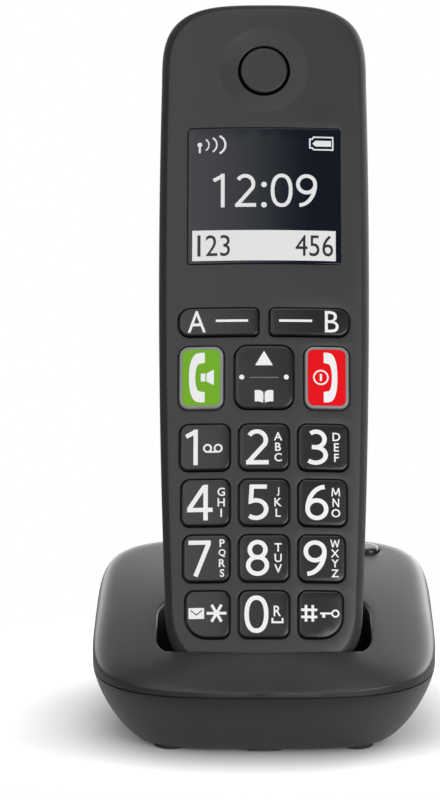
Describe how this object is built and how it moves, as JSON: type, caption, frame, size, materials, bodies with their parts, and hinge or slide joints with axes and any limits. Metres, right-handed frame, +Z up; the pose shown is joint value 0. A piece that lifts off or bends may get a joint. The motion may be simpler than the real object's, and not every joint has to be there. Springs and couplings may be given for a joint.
{
  "type": "cordless phone with base",
  "caption": "Cordless telephone handset with large keys and a display, standing leaned back in a low charging base with a pocket, sockets and a paging key.",
  "frame": {"origin": "centre of the whole object's box, at the level of the surface that the base stands on", "axes": "+Z up, -Y towards the user (the side that the keys face), +X to the user's right"},
  "size_m": [0.0814, 0.0988, 0.1679],
  "materials": {
    "cover_plastic": "fine-grain charcoal",
    "key_plastic": "satin black",
    "talk_green": "satin green",
    "end_red": "satin red",
    "window": "clear window over a dark display",
    "display_glass": "liquid crystal cell",
    "board": "green laminate",
    "tin": "tinned steel",
    "cell_jacket": "plain printed jacket",
    "rubber": "soft black",
    "socket_plastic": "black"
  },
  "bodies": {
    "base": {"base_upper_shell": "cover_plastic", "base_lower_shell": "cover_plastic", "base_board": "board", "phone_socket": "socket_plastic", "power_socket": "socket_plastic", "paging_switch": "socket_plastic", "base_feet": "rubber", "base_screws": "tin"},
    "handset": {"handset_front_cover": "cover_plastic", "handset_rear_cover": "cover_plastic", "display_window": "window", "display_module": "display_glass", "earpiece_cap": "key_plastic", "earpiece_speaker": "tin", "ringer_speaker": "tin", "microphone": "tin", "main_board": "board", "radio_shield": "tin", "keypad_mat": "rubber", "battery_left": "cell_jacket", "battery_right": "cell_jacket", "battery_contacts": "tin", "handset_charge_pads": "tin", "handset_screws": "tin"},
    "battery_cover": {"battery_cover": "cover_plastic"},
    "paging_key": {"paging_key": "key_plastic"},
    "charge_pin_left": {"charge_pin_left": "tin"},
    "charge_pin_right": {"charge_pin_right": "tin"},
    "key_1": {"key_1": "key_plastic"},
    "key_2": {"key_2": "key_plastic"},
    "key_3": {"key_3": "key_plastic"},
    "key_4": {"key_4": "key_plastic"},
    "key_5": {"key_5": "key_plastic"},
    "key_6": {"key_6": "key_plastic"},
    "key_7": {"key_7": "key_plastic"},
    "key_8": {"key_8": "key_plastic"},
    "key_9": {"key_9": "key_plastic"},
    "key_star": {"key_star": "key_plastic"},
    "key_0": {"key_0": "key_plastic"},
    "key_hash": {"key_hash": "key_plastic"},
    "key_talk": {"key_talk": "talk_green"},
    "key_end": {"key_end": "end_red"},
    "key_navigation": {"key_navigation": "key_plastic"},
    "key_a": {"key_a": "key_plastic"},
    "key_b": {"key_b": "key_plastic"}
  },
  "joints": [
    {"name": "handset_lift", "type": "slide", "parent": "base", "child": "handset", "axis": [0, 0.4067, 0.9135], "range_m": [0, 0.06]},
    {"name": "battery_cover_hinge", "type": "hinge", "parent": "handset", "child": "battery_cover", "pos_m": [0, -0.0042, 0.03449], "axis": [-1, 0, 0], "range_deg": [0, 35]},
    {"name": "paging_key_press", "type": "slide", "parent": "base", "child": "paging_key", "axis": [0, 0, -1], "range_m": [0, 0.0008], "stiffness_N_per_m": 400, "springref_m": -0.001},
    {"name": "charge_pin_left_press", "type": "slide", "parent": "base", "child": "charge_pin_left", "axis": [0, -0.4067, -0.9135], "range_m": [0, 0.001], "stiffness_N_per_m": 200, "springref_m": -0.001},
    {"name": "charge_pin_right_press", "type": "slide", "parent": "base", "child": "charge_pin_right", "axis": [0, -0.4067, -0.9135], "range_m": [0, 0.001], "stiffness_N_per_m": 200, "springref_m": -0.001},
    {"name": "key_1_press", "type": "slide", "parent": "handset", "child": "key_1", "axis": [0, 0.9135, -0.4067], "range_m": [0, 0.0006], "stiffness_N_per_m": 500, "springref_m": -0.0008},
    {"name": "key_2_press", "type": "slide", "parent": "handset", "child": "key_2", "axis": [0, 0.9135, -0.4067], "range_m": [0, 0.0006], "stiffness_N_per_m": 500, "springref_m": -0.0008},
    {"name": "key_3_press", "type": "slide", "parent": "handset", "child": "key_3", "axis": [0, 0.9135, -0.4067], "range_m": [0, 0.0006], "stiffness_N_per_m": 500, "springref_m": -0.0008},
    {"name": "key_4_press", "type": "slide", "parent": "handset", "child": "key_4", "axis": [0, 0.9135, -0.4067], "range_m": [0, 0.0006], "stiffness_N_per_m": 500, "springref_m": -0.0008},
    {"name": "key_5_press", "type": "slide", "parent": "handset", "child": "key_5", "axis": [0, 0.9135, -0.4067], "range_m": [0, 0.0006], "stiffness_N_per_m": 500, "springref_m": -0.0008},
    {"name": "key_6_press", "type": "slide", "parent": "handset", "child": "key_6", "axis": [0, 0.9135, -0.4067], "range_m": [0, 0.0006], "stiffness_N_per_m": 500, "springref_m": -0.0008},
    {"name": "key_7_press", "type": "slide", "parent": "handset", "child": "key_7", "axis": [0, 0.9135, -0.4067], "range_m": [0, 0.0006], "stiffness_N_per_m": 500, "springref_m": -0.0008},
    {"name": "key_8_press", "type": "slide", "parent": "handset", "child": "key_8", "axis": [0, 0.9135, -0.4067], "range_m": [0, 0.0006], "stiffness_N_per_m": 500, "springref_m": -0.0008},
    {"name": "key_9_press", "type": "slide", "parent": "handset", "child": "key_9", "axis": [0, 0.9135, -0.4067], "range_m": [0, 0.0006], "stiffness_N_per_m": 500, "springref_m": -0.0008},
    {"name": "key_star_press", "type": "slide", "parent": "handset", "child": "key_star", "axis": [0, 0.9135, -0.4067], "range_m": [0, 0.0006], "stiffness_N_per_m": 500, "springref_m": -0.0008},
    {"name": "key_0_press", "type": "slide", "parent": "handset", "child": "key_0", "axis": [0, 0.9135, -0.4067], "range_m": [0, 0.0006], "stiffness_N_per_m": 500, "springref_m": -0.0008},
    {"name": "key_hash_press", "type": "slide", "parent": "handset", "child": "key_hash", "axis": [0, 0.9135, -0.4067], "range_m": [0, 0.0006], "stiffness_N_per_m": 500, "springref_m": -0.0008},
    {"name": "key_talk_press", "type": "slide", "parent": "handset", "child": "key_talk", "axis": [0, 0.9135, -0.4067], "range_m": [0, 0.0006], "stiffness_N_per_m": 500, "springref_m": -0.0008},
    {"name": "key_end_press", "type": "slide", "parent": "handset", "child": "key_end", "axis": [0, 0.9135, -0.4067], "range_m": [0, 0.0006], "stiffness_N_per_m": 500, "springref_m": -0.0008},
    {"name": "key_navigation_rock", "type": "hinge", "parent": "handset", "child": "key_navigation", "pos_m": [0, -0.00534, 0.08196], "axis": [1, 0, 0], "range_deg": [-2.5, 2.5], "stiffness_Nm_per_rad": 0.05},
    {"name": "key_a_press", "type": "slide", "parent": "handset", "child": "key_a", "axis": [0, 0.9135, -0.4067], "range_m": [0, 0.0006], "stiffness_N_per_m": 500, "springref_m": -0.0008},
    {"name": "key_b_press", "type": "slide", "parent": "handset", "child": "key_b", "axis": [0, 0.9135, -0.4067], "range_m": [0, 0.0006], "stiffness_N_per_m": 500, "springref_m": -0.0008}
  ]
}
